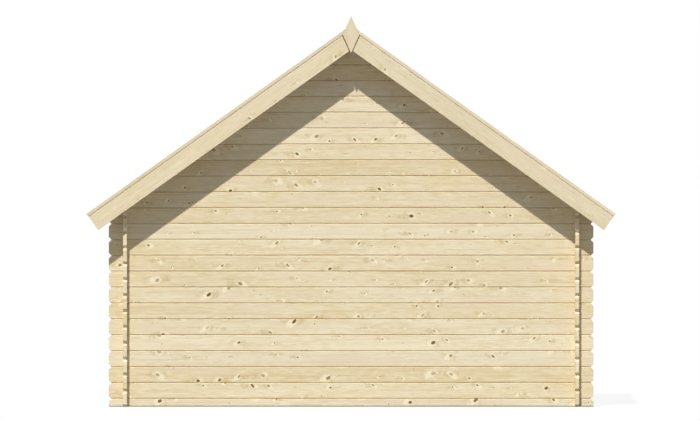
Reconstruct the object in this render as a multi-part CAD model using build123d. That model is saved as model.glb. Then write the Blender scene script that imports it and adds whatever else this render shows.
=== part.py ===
"""Gable-roofed timber summerhouse, built from interlocking spruce logs, in millimetres with +Z up.

The origin lies on the ground under the middle of the plan. The blank rear gable faces -Y and
the doors face +Y. Gable logs run along X and side logs along Y. The gable walls start with a
half log, so the courses of crossing walls are staggered by half a log and lock at the corners.
"""

import math
import os

from build123d import *

# Plan and logs
WALL_WIDTH = 3870.0  # over the outer faces of the side walls
WALL_DEPTH = 3870.0  # over the outer faces of the gable walls
LOG_THICKNESS = 34.0
COURSE = 135.0  # height of one log course
CORNER_OVERHANG = 122.0  # log tip beyond the face of the wall that it crosses
SIDE_COURSES = 13
DRIP_CHAMFER = 9.0  # lower long edges of a log, which shed water over the joint
TOP_CHAMFER = 4.0  # upper long edges of a log
TONGUE_WIDTH = 10.0
TONGUE_HEIGHT = 8.0
TONGUE_CLEARANCE = 1.0
TIP_CHAMFER_LENGTH = 23.0
TIP_CHAMFER_HEIGHT = 23.0
TIP_EDGE_LENGTH = 6.0  # chamfer of a tip's upright edges, along the log
TIP_EDGE_DEPTH = 1.5  # the same chamfer, across the log
NOTCH_SHARE = 0.25  # of a course, cut from the top and the bottom where logs cross
SEAT_GAP = 0.3  # between a piece and its seat
SMALLEST_GABLE_PIECE = 40.0  # a lower rest at the top of a gable is left to the ridge purlin

# Roof
ROOF_PITCH = 35.5  # degrees
WALL_PLATE_HEIGHT = 49.0  # at the wall's outer face, above the last side course
DECK_THICKNESS = 19.0
GABLE_OVERHANG = 250.0  # deck beyond the gable wall
EAVES_OVERHANG = 291.0  # deck and fascia beyond the side wall, level
RIDGE_PURLIN_WIDTH = 60.0
RIDGE_PURLIN_HEIGHT = 120.0
PURLIN_WIDTH = 45.0
PURLIN_HEIGHT = 120.0  # at its middle
PURLIN_PLACE_SHARE = 0.5  # of the way from the ridge to the side wall
BARGE_WIDTH = 145.0
BARGE_THICKNESS = 19.0
LATH_THICKNESS = 25.0
LATH_WIDTH = 60.0
LATH_PROUD = 5.0  # beyond the bargeboard's face
LATH_RUNOUT = 3.0  # beyond the bargeboard's lower end
FINIAL_WIDTH = 142.0
FINIAL_RISE = 161.0  # point above the side corners
FINIAL_DROP = 157.0  # point below the side corners
FINIAL_THICKNESS = 22.0
FINIAL_BARGE_GAP = 8.0  # to the bargeboards
FINIAL_LATH_GAP = 1.0  # to the laths
FASCIA_THICKNESS = 19.0
FASCIA_WIDTH = 95.0
EAVES_BATTEN_WIDTH = 45.0
EAVES_BATTEN_THICKNESS = 28.0

# Floor
BEARER_WIDTH = 45.0
BEARER_HEIGHT = 45.0
BEARER_COUNT = 8
FLOOR_THICKNESS = 19.0
FLOOR_EDGE_GAP = 8.0

# Doors
DOOR_COURSES = 14
DOOR_OPENING_WIDTH = 1500.0
FRAME_LIP = 20.0  # overlap on the wall's faces
FRAME_LIP_DEPTH = 20.0  # stands out from the wall's faces
FRAME_FACE = 40.0  # inwards from the cut log ends
STOP_WIDTH = 12.0
SILL_HEIGHT = 30.0
SILL_NOSE = 25.0
LEAF_THICKNESS = 40.0
LEAF_INSET = 2.0  # behind the frame's outer face
LEAF_GAP = 3.0
STILE_WIDTH = 95.0
MIDDLE_RAIL_WIDTH = 95.0
BOTTOM_RAIL_WIDTH = 140.0
LOWER_PANEL_HEIGHT = 600.0
PANEL_THICKNESS = 16.0
GLASS_THICKNESS = 4.0
PANE_REBATE = 8.0  # depth of the pane or panel in its groove
BEAD_WIDTH = 45.0
BEAD_THICKNESS = 10.0
HINGE_HEIGHT = 90.0
HINGE_RADIUS = 7.0
HINGE_PLATE_WIDTH = 32.0
HINGE_PLATE_THICKNESS = 2.0
HINGE_PLACE_SHARES = (0.1, 0.5, 0.9)  # of the leaf's height
HANDLE_PLATE_WIDTH = 38.0
HANDLE_PLATE_HEIGHT = 200.0
HANDLE_PLATE_THICKNESS = 7.0
HANDLE_ROSE_RADIUS = 13.0
HANDLE_NECK_LENGTH = 42.0
HANDLE_BEND_RADIUS = 16.0
HANDLE_LEVER_LENGTH = 115.0
HANDLE_LEVER_HEIGHT = 18.0
HANDLE_LEVER_THICKNESS = 10.0
HANDLE_RISE = 110.0  # above the middle of the middle rail

# Places worked out from the sizes above
LOG_RISE = COURSE - SEAT_GAP  # one log's body, which leaves its bed joint
PITCH = math.radians(ROOF_PITCH)
HALF_WIDTH = WALL_WIDTH / 2
HALF_DEPTH = WALL_DEPTH / 2
GABLE_LOG_LENGTH = WALL_WIDTH + 2 * CORNER_OVERHANG
SIDE_LOG_LENGTH = WALL_DEPTH + 2 * CORNER_OVERHANG
SIDE_AXIS = HALF_WIDTH - LOG_THICKNESS / 2  # middle plane of a side wall
GABLE_AXIS = HALF_DEPTH - LOG_THICKNESS / 2  # middle plane of a gable wall
NOTCH_REACH = LOG_THICKNESS / 2 + SEAT_GAP  # of a notch, each way from the crossing wall's middle
FIRST_BED = COURSE / 2  # top of the half log under the gable courses
SIDE_TOP = SIDE_COURSES * COURSE
SEAT_APEX = SIDE_TOP + WALL_PLATE_HEIGHT + HALF_WIDTH * math.tan(PITCH)
DECK_TOP_APEX = SEAT_APEX + (DECK_THICKNESS + SEAT_GAP) / math.cos(PITCH)
DECK_END = HALF_DEPTH + GABLE_OVERHANG
SLOPE_LENGTH = (HALF_WIDTH + EAVES_OVERHANG) / math.cos(PITCH)
DOOR_TOP = FIRST_BED + DOOR_COURSES * COURSE
FINIAL_MIDDLE = DECK_TOP_APEX - FINIAL_WIDTH / 2 * math.tan(PITCH)


def face(*points):
    """Closed flat outline through the points."""
    return make_face(Polyline(*points, close=True))


def rectangle(low, high):
    """Flat rectangle from its low corner to its high corner."""
    return face(low, (high[0], low[1]), high, (low[0], high[1]))


def along_y(outline, y_low, y_high):
    """Outline drawn in X and Z, as a solid between two values of Y."""
    return extrude(Plane.XZ.offset(-y_low) * outline, y_low - y_high)


def along_x(outline, x_low, x_high):
    """Outline drawn in Y and Z, as a solid between two values of X."""
    return extrude(Plane.YZ.offset(x_low) * outline, x_high - x_low)


def solids_of(shapes):
    """All solids in a list of shapes."""
    return [solid for shape in shapes for solid in shape.solids()]


# Logs


def log_section(base, top):
    """Section of a log with its tongue, the long edges chamfered."""
    half = LOG_THICKNESS / 2
    tongue = TONGUE_WIDTH / 2
    return face(
        (-half, base + DRIP_CHAMFER),
        (-half + DRIP_CHAMFER, base),
        (half - DRIP_CHAMFER, base),
        (half, base + DRIP_CHAMFER),
        (half, top - TOP_CHAMFER),
        (half - TOP_CHAMFER, top),
        (tongue, top),
        (tongue, top + TONGUE_HEIGHT),
        (-tongue, top + TONGUE_HEIGHT),
        (-tongue, top),
        (-half + TOP_CHAMFER, top),
        (-half, top - TOP_CHAMFER),
    )


def groove(axis, base):
    """Groove under a log for the tongue of the one below, between the crossing walls at +axis and -axis."""
    reach = axis - NOTCH_REACH
    half = (TONGUE_WIDTH + TONGUE_CLEARANCE) / 2
    depth = TONGUE_HEIGHT + TONGUE_CLEARANCE
    return along_y(rectangle((-reach, base - depth), (reach, base + depth)), -half, half)


def tipped_outline(length, axis, base, top, bottom_chamfer=True):
    """Side view of a log, its tips chamfered and its tongue between the crossing walls at +axis and -axis."""
    end = length / 2
    inner = end - TIP_CHAMFER_LENGTH
    reach = axis - NOTCH_REACH
    right = [(end, top - TIP_CHAMFER_HEIGHT), (inner, top), (reach, top), (reach, top + TONGUE_HEIGHT)]
    if bottom_chamfer:
        right = [(inner, base), (end, base + TIP_CHAMFER_HEIGHT), *right]
    else:
        right = [(end, base), *right]
    return face(*right, *[(-x, z) for x, z in reversed(right)])


def tip_plan(length):
    """Plan of a log, its upright edges chamfered at both tips."""
    end = length / 2
    half = LOG_THICKNESS / 2
    right = [
        (end - TIP_EDGE_LENGTH, -half),
        (end, -half + TIP_EDGE_DEPTH),
        (end, half - TIP_EDGE_DEPTH),
        (end - TIP_EDGE_LENGTH, half),
    ]
    return face(*right, *[(-x, y) for x, y in reversed(right)])


def corner_notches(axis, base):
    """Notches from the top and the bottom of a log, where it crosses the walls at +axis and -axis."""
    depth = NOTCH_SHARE * COURSE + SEAT_GAP / 2
    top = base + COURSE
    notches = []
    for middle in (-axis, axis):
        low_x = middle - NOTCH_REACH
        high_x = middle + NOTCH_REACH
        notches.append(rectangle((low_x, base - COURSE), (high_x, base + depth)))
        notches.append(rectangle((low_x, top - depth), (high_x, top + COURSE)))
    return notches


def log_solids(outline, section, length):
    """The log, or pieces of a log, with that side view and section, along X and centred on Y zero."""
    blank = along_x(section, -length / 2, length / 2)
    tips = extrude(tip_plan(length), SEAT_APEX)
    found = []
    for part in outline.faces():
        body = along_y(Sketch() + part, -LOG_THICKNESS, LOG_THICKNESS)
        found += (blank & body & tips).solids()
    return found


def side_wall(side):
    """One side wall, all its logs alike."""
    outline = tipped_outline(SIDE_LOG_LENGTH, GABLE_AXIS, 0, LOG_RISE)
    for notch in corner_notches(GABLE_AXIS, 0):
        outline -= notch
    (log,) = log_solids(outline, log_section(0, LOG_RISE), SIDE_LOG_LENGTH)
    turned = Rot(0, 0, 90) * (log - groove(GABLE_AXIS, 0))
    return [Pos(side * SIDE_AXIS, 0, course * COURSE) * turned for course in range(SIDE_COURSES)]


def wall_plate(side):
    """Top piece of a side wall, bevelled to carry the roof deck."""
    half = LOG_THICKNESS / 2
    outer_top = SIDE_TOP + WALL_PLATE_HEIGHT
    inner_top = outer_top + LOG_THICKNESS * math.tan(PITCH)
    section = face(
        (half, SIDE_TOP + DRIP_CHAMFER),
        (half, outer_top),
        (-half, inner_top),
        (-half, SIDE_TOP + DRIP_CHAMFER),
        (-half + DRIP_CHAMFER, SIDE_TOP),
        (half - DRIP_CHAMFER, SIDE_TOP),
    )
    outline = tipped_outline(SIDE_LOG_LENGTH, GABLE_AXIS, SIDE_TOP, SIDE_TOP + COURSE)
    for notch in corner_notches(GABLE_AXIS, SIDE_TOP):
        outline -= notch
    (plate,) = log_solids(outline, section, SIDE_LOG_LENGTH)
    turn = Rot(0, 0, -90) if side > 0 else Rot(0, 0, 90)
    return (Pos(side * SIDE_AXIS, 0, 0) * turn * (plate - groove(GABLE_AXIS, SIDE_TOP))).solids()


def roof_seat(x):
    """Height of the plane that carries the deck, at a distance from the ridge."""
    return SEAT_APEX - abs(x) * math.tan(PITCH)


def under_roof():
    """Outline of everything under the deck, for trimming the gable logs."""
    reach = HALF_WIDTH + EAVES_OVERHANG
    return face((-reach, 0), (reach, 0), (reach, roof_seat(reach)), (0, SEAT_APEX), (-reach, roof_seat(reach)))


def purlin_places():
    """Middle, width and underside of each purlin, from the ridge outwards."""
    place = PURLIN_PLACE_SHARE * SIDE_AXIS
    low = roof_seat(place) - PURLIN_HEIGHT
    return {
        "ridge_purlin": (0, RIDGE_PURLIN_WIDTH, SEAT_APEX - RIDGE_PURLIN_HEIGHT),
        "left_purlin": (-place, PURLIN_WIDTH, low),
        "right_purlin": (place, PURLIN_WIDTH, low),
    }


def gable_outline(base, doorway):
    """Side view of the gable log that starts at a height, trimmed to the roof, purlins and doorway."""
    outline = tipped_outline(GABLE_LOG_LENGTH, SIDE_AXIS, base, base + LOG_RISE)
    for notch in corner_notches(SIDE_AXIS, base):
        outline -= notch
    outline &= under_roof()
    for middle, width, low in purlin_places().values():
        reach = width / 2 + SEAT_GAP
        outline -= rectangle((middle - reach, low - SEAT_GAP), (middle + reach, SEAT_APEX))
    if doorway and base < DOOR_TOP - SEAT_GAP:
        half = DOOR_OPENING_WIDTH / 2
        outline -= rectangle((-half, base - COURSE), (half, base + 2 * COURSE))
    return outline


def half_log(doorway):
    """Half log that a gable wall stands on."""
    low = FIRST_BED - COURSE
    outline = tipped_outline(GABLE_LOG_LENGTH, SIDE_AXIS, 0, FIRST_BED - SEAT_GAP, bottom_chamfer=False)
    for notch in corner_notches(SIDE_AXIS, low):
        outline -= notch
    outline &= under_roof()
    if doorway:
        outline -= rectangle((-DOOR_OPENING_WIDTH / 2, FIRST_BED - SEAT_GAP), (DOOR_OPENING_WIDTH / 2, COURSE))
    return log_solids(outline, log_section(0, FIRST_BED - SEAT_GAP), GABLE_LOG_LENGTH)


def gable_courses():
    """Heights at which the gable logs start, from the half log to the ridge."""
    count = math.ceil((SEAT_APEX - SMALLEST_GABLE_PIECE - FIRST_BED) / COURSE)
    return [FIRST_BED + course * COURSE for course in range(count)]


def gable_logs(doorway):
    """Logs of one gable wall, course by course, centred on Y zero."""
    courses = []
    for base in gable_courses():
        section = log_section(base, base + LOG_RISE)
        logs = log_solids(gable_outline(base, doorway), section, GABLE_LOG_LENGTH)
        courses.append(solids_of(log - groove(SIDE_AXIS, base) for log in logs))
    return courses


def rear_wall():
    """Blank gable wall, split at the eaves into its wall and its gable triangle."""
    place = Pos(0, -GABLE_AXIS, 0)
    wall = half_log(doorway=False)
    gable = []
    for base, logs in zip(gable_courses(), gable_logs(doorway=False)):
        (wall if base < SIDE_TOP - COURSE else gable).extend(logs)
    return {
        "rear_wall": [place * log for log in wall],
        "rear_gable": [place * log for log in gable],
    }


def front_wall():
    """Door gable, with short logs beside the doorway and long ones over it."""
    place = Pos(0, GABLE_AXIS, 0)
    groups = {"front_sole_log": half_log(doorway=True), "front_wall_left": [], "front_wall_right": [], "front_gable": []}
    for base, logs in zip(gable_courses(), gable_logs(doorway=True)):
        for log in logs:
            beside = base < DOOR_TOP - SEAT_GAP
            side = "front_wall_left" if log.center().X < 0 else "front_wall_right"
            groups[side if beside else "front_gable"].append(log)
    return {name: [place * log for log in logs] for name, logs in groups.items()}


# Roof


def on_slope(side, distance, depth):
    """Point at a distance down the slope from the ridge and a depth below the deck's top, in X and Z."""
    x = distance * math.cos(PITCH) - depth * math.sin(PITCH)
    z = DECK_TOP_APEX - distance * math.sin(PITCH) - depth * math.cos(PITCH)
    return (side * x, z)


def slope_strip(side, start, end, top, bottom):
    """Strip of a roof slope in X and Z, from start to end down the slope and between two depths."""
    return face(
        on_slope(side, start, top),
        on_slope(side, end, top),
        on_slope(side, end, bottom),
        on_slope(side, start, bottom),
    )


def half_space(side, edge=0):
    """Outline of one side of the ridge, for plumb cuts at the ridge."""
    reach = 2 * SLOPE_LENGTH
    return rectangle((min(side * edge, side * reach), 0), (max(side * edge, side * reach), 2 * SEAT_APEX))


def ridge_cut_strip(side, end, top, bottom):
    """Strip of a roof slope that is cut plumb at the ridge."""
    strip = slope_strip(side, -FINIAL_RISE, end, top, bottom)
    return strip & half_space(side, SEAT_GAP / 2)


def deck(side):
    """Roof boards of one slope, as one slab."""
    outline = ridge_cut_strip(side, SLOPE_LENGTH - FASCIA_THICKNESS, 0, DECK_THICKNESS)
    return along_y(outline, -DECK_END, DECK_END).solids()


def purlin(middle, width, low):
    """Purlin with its top bevelled to the roof, from verge to verge."""
    block = rectangle((middle - width / 2, low), (middle + width / 2, SEAT_APEX + width))
    return along_y(block & under_roof(), -DECK_END, DECK_END).solids()


def finial_outline(margin=0):
    """Long diamond at the head of the bargeboards, grown by a margin square to its edges."""
    diamond = face(
        (0, FINIAL_MIDDLE - FINIAL_DROP),
        (FINIAL_WIDTH / 2, FINIAL_MIDDLE),
        (0, FINIAL_MIDDLE + FINIAL_RISE),
        (-FINIAL_WIDTH / 2, FINIAL_MIDDLE),
    )
    return offset(diamond, margin, kind=Kind.INTERSECTION) if margin else diamond


def finial(end):
    """Diamond finial of one gable end."""
    near = DECK_END + SEAT_GAP
    return along_y(finial_outline(), *sorted((end * near, end * (near + FINIAL_THICKNESS)))).solids()


def bargeboard(side, end):
    """Bargeboard of one slope at one gable end, cut square at the eaves and to the finial at the ridge."""
    near = DECK_END + SEAT_GAP
    outline = ridge_cut_strip(side, SLOPE_LENGTH, 0, BARGE_WIDTH) - finial_outline(FINIAL_BARGE_GAP)
    return along_y(outline, *sorted((end * near, end * (near + BARGE_THICKNESS)))).solids()


def verge_lath(side, end):
    """Lath that covers the verge and the bargeboard's top edge, cut round the finial."""
    face_y = DECK_END + SEAT_GAP + BARGE_THICKNESS + LATH_PROUD
    outline = ridge_cut_strip(side, SLOPE_LENGTH + LATH_RUNOUT, -SEAT_GAP - LATH_THICKNESS, -SEAT_GAP)
    lath = along_y(outline, *sorted((end * face_y, end * (face_y - LATH_WIDTH))))
    clear = along_y(finial_outline(FINIAL_LATH_GAP), *sorted((end * DECK_END, end * (face_y + LATH_WIDTH))))
    return (lath - clear).solids()


def eaves_fascia(side):
    """Board on the lower ends of the roof boards."""
    start = SLOPE_LENGTH - FASCIA_THICKNESS + SEAT_GAP
    return along_y(slope_strip(side, start, SLOPE_LENGTH, 0, FASCIA_WIDTH), -DECK_END, DECK_END).solids()


def eaves_batten(side):
    """Batten under the deck, behind the fascia."""
    end = SLOPE_LENGTH - FASCIA_THICKNESS
    depth = DECK_THICKNESS + SEAT_GAP
    strip = slope_strip(side, end - EAVES_BATTEN_WIDTH, end, depth, depth + EAVES_BATTEN_THICKNESS)
    return along_y(strip, -DECK_END, DECK_END).solids()


# Floor


def floor_bearers():
    """Joists on the ground, from side wall to side wall."""
    reach = HALF_WIDTH - LOG_THICKNESS - SEAT_GAP
    first = HALF_DEPTH - LOG_THICKNESS - FLOOR_EDGE_GAP - BEARER_WIDTH / 2
    step = 2 * first / (BEARER_COUNT - 1)
    bearer = rectangle((-reach, 0), (reach, BEARER_HEIGHT))
    middles = [index * step - first for index in range(BEARER_COUNT)]
    return solids_of(along_y(bearer, y - BEARER_WIDTH / 2, y + BEARER_WIDTH / 2) for y in middles)


def floor_boards():
    """Floor boards, as one slab on the bearers."""
    low = BEARER_HEIGHT + SEAT_GAP
    reach_x = HALF_WIDTH - LOG_THICKNESS - FLOOR_EDGE_GAP
    reach_y = HALF_DEPTH - LOG_THICKNESS - FLOOR_EDGE_GAP
    return along_y(rectangle((-reach_x, low), (reach_x, low + FLOOR_THICKNESS)), -reach_y, reach_y).solids()


# Doors

FRAME_OUTER = HALF_DEPTH + FRAME_LIP_DEPTH
FRAME_INNER = HALF_DEPTH - LOG_THICKNESS - FRAME_LIP_DEPTH
LEAF_OUTER = FRAME_OUTER - LEAF_INSET
LEAF_INNER = LEAF_OUTER - LEAF_THICKNESS
CLEAR_HALF = DOOR_OPENING_WIDTH / 2 - FRAME_FACE
CLEAR_TOP = DOOR_TOP - FRAME_FACE
SILL_TOP = FIRST_BED + SILL_HEIGHT
LEAF_WIDTH = CLEAR_HALF - 1.5 * LEAF_GAP
LEAF_LOW = SILL_TOP + LEAF_GAP
LEAF_HIGH = CLEAR_TOP - LEAF_GAP
PANEL_LOW = LEAF_LOW + BOTTOM_RAIL_WIDTH
PANEL_HIGH = PANEL_LOW + LOWER_PANEL_HEIGHT
GLASS_LOW = PANEL_HIGH + MIDDLE_RAIL_WIDTH
GLASS_HIGH = LEAF_HIGH - STILE_WIDTH
HANDLE_HEIGHT = (PANEL_HIGH + GLASS_LOW) / 2 + HANDLE_RISE
PANE_MIDDLE = (LEAF_OUTER + LEAF_INNER) / 2


def frame_groove():
    """Room for the cut log ends in the door frame."""
    reach = WALL_WIDTH
    around = rectangle((-reach, -reach), (reach, reach + DOOR_TOP)) - rectangle(
        (-DOOR_OPENING_WIDTH / 2 + SEAT_GAP, FIRST_BED), (DOOR_OPENING_WIDTH / 2 - SEAT_GAP, DOOR_TOP - SEAT_GAP)
    )
    return along_y(around, HALF_DEPTH - LOG_THICKNESS - SEAT_GAP, HALF_DEPTH + SEAT_GAP)


def jamb(side):
    """Upright of the door frame, grooved over the log ends and rebated for the leaf."""
    outer = DOOR_OPENING_WIDTH / 2 + FRAME_LIP
    post = rectangle((CLEAR_HALF, FIRST_BED), (outer, CLEAR_TOP - SEAT_GAP))
    stop = rectangle((CLEAR_HALF - STOP_WIDTH, SILL_TOP + SEAT_GAP), (CLEAR_HALF, CLEAR_TOP - SEAT_GAP))
    body = along_y(post, FRAME_INNER, FRAME_OUTER) + along_y(stop, FRAME_INNER, LEAF_INNER - SEAT_GAP)
    body -= frame_groove()
    return (body if side > 0 else mirror(body, Plane.YZ)).solids()


def door_head():
    """Top of the door frame, grooved under the log over the doorway."""
    outer = DOOR_OPENING_WIDTH / 2 + FRAME_LIP
    stop_reach = CLEAR_HALF - STOP_WIDTH - SEAT_GAP
    beam = rectangle((-outer, CLEAR_TOP), (outer, DOOR_TOP + FRAME_LIP))
    stop = rectangle((-stop_reach, CLEAR_TOP - STOP_WIDTH), (stop_reach, CLEAR_TOP))
    body = along_y(beam, FRAME_INNER, FRAME_OUTER) + along_y(stop, FRAME_INNER, LEAF_INNER - SEAT_GAP)
    return (body - frame_groove()).solids()


def door_sill():
    """Sill on the half log, its nose sloped to shed water."""
    reach = CLEAR_HALF - SEAT_GAP
    nose = FRAME_OUTER + SILL_NOSE
    section = face(
        (FRAME_INNER, FIRST_BED),
        (nose, FIRST_BED),
        (nose, FIRST_BED + SILL_HEIGHT / 2),
        (FRAME_OUTER, SILL_TOP),
        (FRAME_INNER, SILL_TOP),
    )
    return along_x(section, -reach, reach).solids()


def leaf_span(side):
    """Lowest and highest X of one leaf."""
    return sorted((side * LEAF_GAP / 2, side * (LEAF_GAP / 2 + LEAF_WIDTH)))


def pane(side, low, high, thickness, margin):
    """Pane or panel between the stiles of one leaf, with a margin beyond the sight size."""
    left, right = leaf_span(side)
    outline = rectangle(
        (left + STILE_WIDTH - margin, low - margin), (right - STILE_WIDTH + margin, high + margin)
    )
    return along_y(outline, PANE_MIDDLE - thickness / 2, PANE_MIDDLE + thickness / 2)


def door_leaf(side):
    """Framed leaf with grooves for its pane and its panel."""
    left, right = leaf_span(side)
    body = along_y(rectangle((left, LEAF_LOW), (right, LEAF_HIGH)), LEAF_INNER, LEAF_OUTER)
    for low, high, thickness in (
        (PANEL_LOW, PANEL_HIGH, PANEL_THICKNESS),
        (GLASS_LOW, GLASS_HIGH, GLASS_THICKNESS),
    ):
        body -= pane(side, low, high, 2 * LEAF_THICKNESS, 0)
        body -= pane(side, low, high, thickness + 2 * SEAT_GAP, PANE_REBATE + SEAT_GAP)
    return body.solids()


def meeting_bead():
    """Strip on the right leaf that covers the joint between the leaves."""
    outline = rectangle((-BEAD_WIDTH / 2, LEAF_LOW), (BEAD_WIDTH / 2, LEAF_HIGH))
    near = LEAF_OUTER + SEAT_GAP
    return along_y(outline, near, near + BEAD_THICKNESS).solids()


def hinge(side, middle):
    """Knuckle hinge on the outer faces of a jamb and a leaf."""
    pin_x = side * CLEAR_HALF
    low = middle - HINGE_HEIGHT / 2
    knuckle = Pos(pin_x, FRAME_OUTER + SEAT_GAP + HINGE_RADIUS, middle) * Cylinder(HINGE_RADIUS, HINGE_HEIGHT)
    plate = rectangle((pin_x - HINGE_PLATE_WIDTH, low), (pin_x + HINGE_PLATE_WIDTH, low + HINGE_HEIGHT))
    near = FRAME_OUTER + SEAT_GAP
    return knuckle + along_y(plate, near, near + HINGE_PLATE_THICKNESS)


def door_hinges():
    """Three hinges for each leaf."""
    heights = [LEAF_LOW + share * (LEAF_HIGH - LEAF_LOW) for share in HINGE_PLACE_SHARES]
    return solids_of(hinge(side, middle) for side in (-1, 1) for middle in heights)


def door_handle():
    """Lever handle on its plate, on the right leaf's meeting stile."""
    middle_x = LEAF_GAP / 2 + (STILE_WIDTH + BEAD_WIDTH / 2) / 2
    near = LEAF_OUTER + SEAT_GAP
    plate = Pos(middle_x, near + HANDLE_PLATE_THICKNESS / 2, HANDLE_HEIGHT) * Box(
        HANDLE_PLATE_WIDTH, HANDLE_PLATE_THICKNESS, HANDLE_PLATE_HEIGHT
    )
    neck_end = near + HANDLE_NECK_LENGTH
    path = FilletPolyline(
        (middle_x, near + HANDLE_PLATE_THICKNESS / 2, HANDLE_HEIGHT),
        (middle_x, neck_end, HANDLE_HEIGHT),
        (middle_x + HANDLE_LEVER_LENGTH, neck_end, HANDLE_HEIGHT),
        radius=HANDLE_BEND_RADIUS,
    )
    section = Plane(path @ 0, x_dir=(0, 0, 1), z_dir=path % 0)
    lever = sweep(section * Rectangle(HANDLE_LEVER_HEIGHT, HANDLE_LEVER_THICKNESS), path)
    seat = Plane((middle_x, near + HANDLE_PLATE_THICKNESS, HANDLE_HEIGHT), z_dir=(0, 1, 0))
    rose = seat * Circle(HANDLE_ROSE_RADIUS)
    return (plate + lever + extrude(rose, HANDLE_PLATE_THICKNESS)).solids()


def build():
    """All nodes of the summerhouse, each a list of solids."""
    sides = {"left": -1, "right": 1}
    ends = {"rear": -1, "front": 1}
    nodes = {**rear_wall(), **front_wall()}
    for name, side in sides.items():
        nodes[f"{name}_wall"] = side_wall(side)
        nodes[f"{name}_wall_plate"] = wall_plate(side)
        nodes[f"{name}_roof_deck"] = deck(side)
        nodes[f"{name}_eaves_fascia"] = eaves_fascia(side)
        nodes[f"{name}_eaves_batten"] = eaves_batten(side)
        nodes[f"{name}_door_jamb"] = jamb(side)
        nodes[f"{name}_door_leaf"] = door_leaf(side)
        nodes[f"{name}_door_glass"] = pane(side, GLASS_LOW, GLASS_HIGH, GLASS_THICKNESS, PANE_REBATE).solids()
        nodes[f"{name}_door_panel"] = pane(side, PANEL_LOW, PANEL_HIGH, PANEL_THICKNESS, PANE_REBATE).solids()
        for end_name, end in ends.items():
            nodes[f"{end_name}_{name}_bargeboard"] = bargeboard(side, end)
            nodes[f"{end_name}_{name}_verge_lath"] = verge_lath(side, end)
    for name, place in purlin_places().items():
        nodes[name] = purlin(*place)
    for name, end in ends.items():
        nodes[f"{name}_finial"] = finial(end)
    nodes["floor_bearers"] = floor_bearers()
    nodes["floor_boards"] = floor_boards()
    nodes["door_head"] = door_head()
    nodes["door_sill"] = door_sill()
    nodes["door_meeting_bead"] = meeting_bead()
    nodes["door_hinges"] = door_hinges()
    nodes["door_handle"] = door_handle()
    return nodes


os.makedirs("parts", exist_ok=True)
for node, solids in build().items():
    export_step(Compound(solids) if len(solids) > 1 else solids[0], f"parts/{node}.step")
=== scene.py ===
"""Dress the log summerhouse for its picture: spruce finishes, boards, door joinery, light and camera."""

import logging
import math
from collections.abc import Callable
from dataclasses import dataclass
from enum import Enum
from functools import cache
from typing import ClassVar

import bpy
from mathutils import Matrix, Vector

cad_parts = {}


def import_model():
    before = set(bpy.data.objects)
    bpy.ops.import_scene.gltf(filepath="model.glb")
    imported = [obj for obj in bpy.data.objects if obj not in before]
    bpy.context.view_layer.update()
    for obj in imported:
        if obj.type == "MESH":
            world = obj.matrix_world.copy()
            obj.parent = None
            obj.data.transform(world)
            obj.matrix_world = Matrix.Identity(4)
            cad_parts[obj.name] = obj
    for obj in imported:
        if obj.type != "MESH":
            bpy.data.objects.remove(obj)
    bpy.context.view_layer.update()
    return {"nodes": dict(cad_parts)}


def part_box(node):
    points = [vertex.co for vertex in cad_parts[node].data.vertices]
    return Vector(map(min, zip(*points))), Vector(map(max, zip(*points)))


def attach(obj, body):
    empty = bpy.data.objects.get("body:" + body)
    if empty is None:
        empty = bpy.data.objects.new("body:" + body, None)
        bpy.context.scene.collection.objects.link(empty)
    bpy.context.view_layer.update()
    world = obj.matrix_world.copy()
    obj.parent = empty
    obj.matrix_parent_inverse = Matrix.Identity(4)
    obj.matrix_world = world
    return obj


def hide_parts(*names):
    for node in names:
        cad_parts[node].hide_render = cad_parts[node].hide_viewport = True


log = logging.getLogger("summerhouse")

Colour = tuple[float, float, float]
Corner = tuple[float, float, float]
Pair = tuple[float, float]
Rectangle = tuple[float, float, float, float]
Form = bpy.types.Object
Nodes = dict[str, Form]
Socket = bpy.types.NodeSocket
Outputs = bpy.types.NodeOutputs
Number = float | Socket
EdgeTest = Callable[[Vector, Vector], bool]

MM = 0.001
BODY = "root"
ROOF_PITCH = math.radians(35.5)
SLOPE_COS = math.cos(ROOF_PITCH)
SLOPE_SIN = math.sin(ROOF_PITCH)
HALF_TURN = Matrix.Rotation(math.pi, 4, "Z")
WHITE = (1.0, 1.0, 1.0)
ORIGIN = (0.0, 0.0, 0.0)
OUT_UP = (0.0, 0.0, 1.0)
OUT_FRONT = (0.0, 1.0, 0.0)
OUT_RIGHT = (1.0, 0.0, 0.0)
WHOLE_PIECE = 100.0
PICK_SLACK = 0.1 * MM
MERGED = 0.01 * MM
LEVEL = 0.99
FLAT_EDGE = math.radians(0.5)
SHARP_EDGE = math.radians(25.0)


def srgb(red: int, green: int, blue: int) -> Colour:
    """Turn a screen colour, from 0 to 255, into linear light."""
    shares = (value / 255 for value in (red, green, blue))
    return tuple(s / 12.92 if s <= 0.04045 else ((s + 0.055) / 1.055) ** 2.4 for s in shares)


class Half(Enum):
    """Halves of the house, each with the sign of its axis."""

    def node(self, kind: str) -> str:
        """Name a node of this half."""
        return f"{self.name.lower()}_{kind}"


class Side(Half):
    """Left and right half, for someone who faces the blank gable."""

    LEFT = -1.0
    RIGHT = 1.0


class End(Half):
    """Rear half with the blank gable and front half with the doors."""

    REAR = -1.0
    FRONT = 1.0


class Pick(Enum):
    """Kinds of mesh element to select, with the name of their list in a mesh."""

    EDGE = "edges"
    FACE = "polygons"


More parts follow.
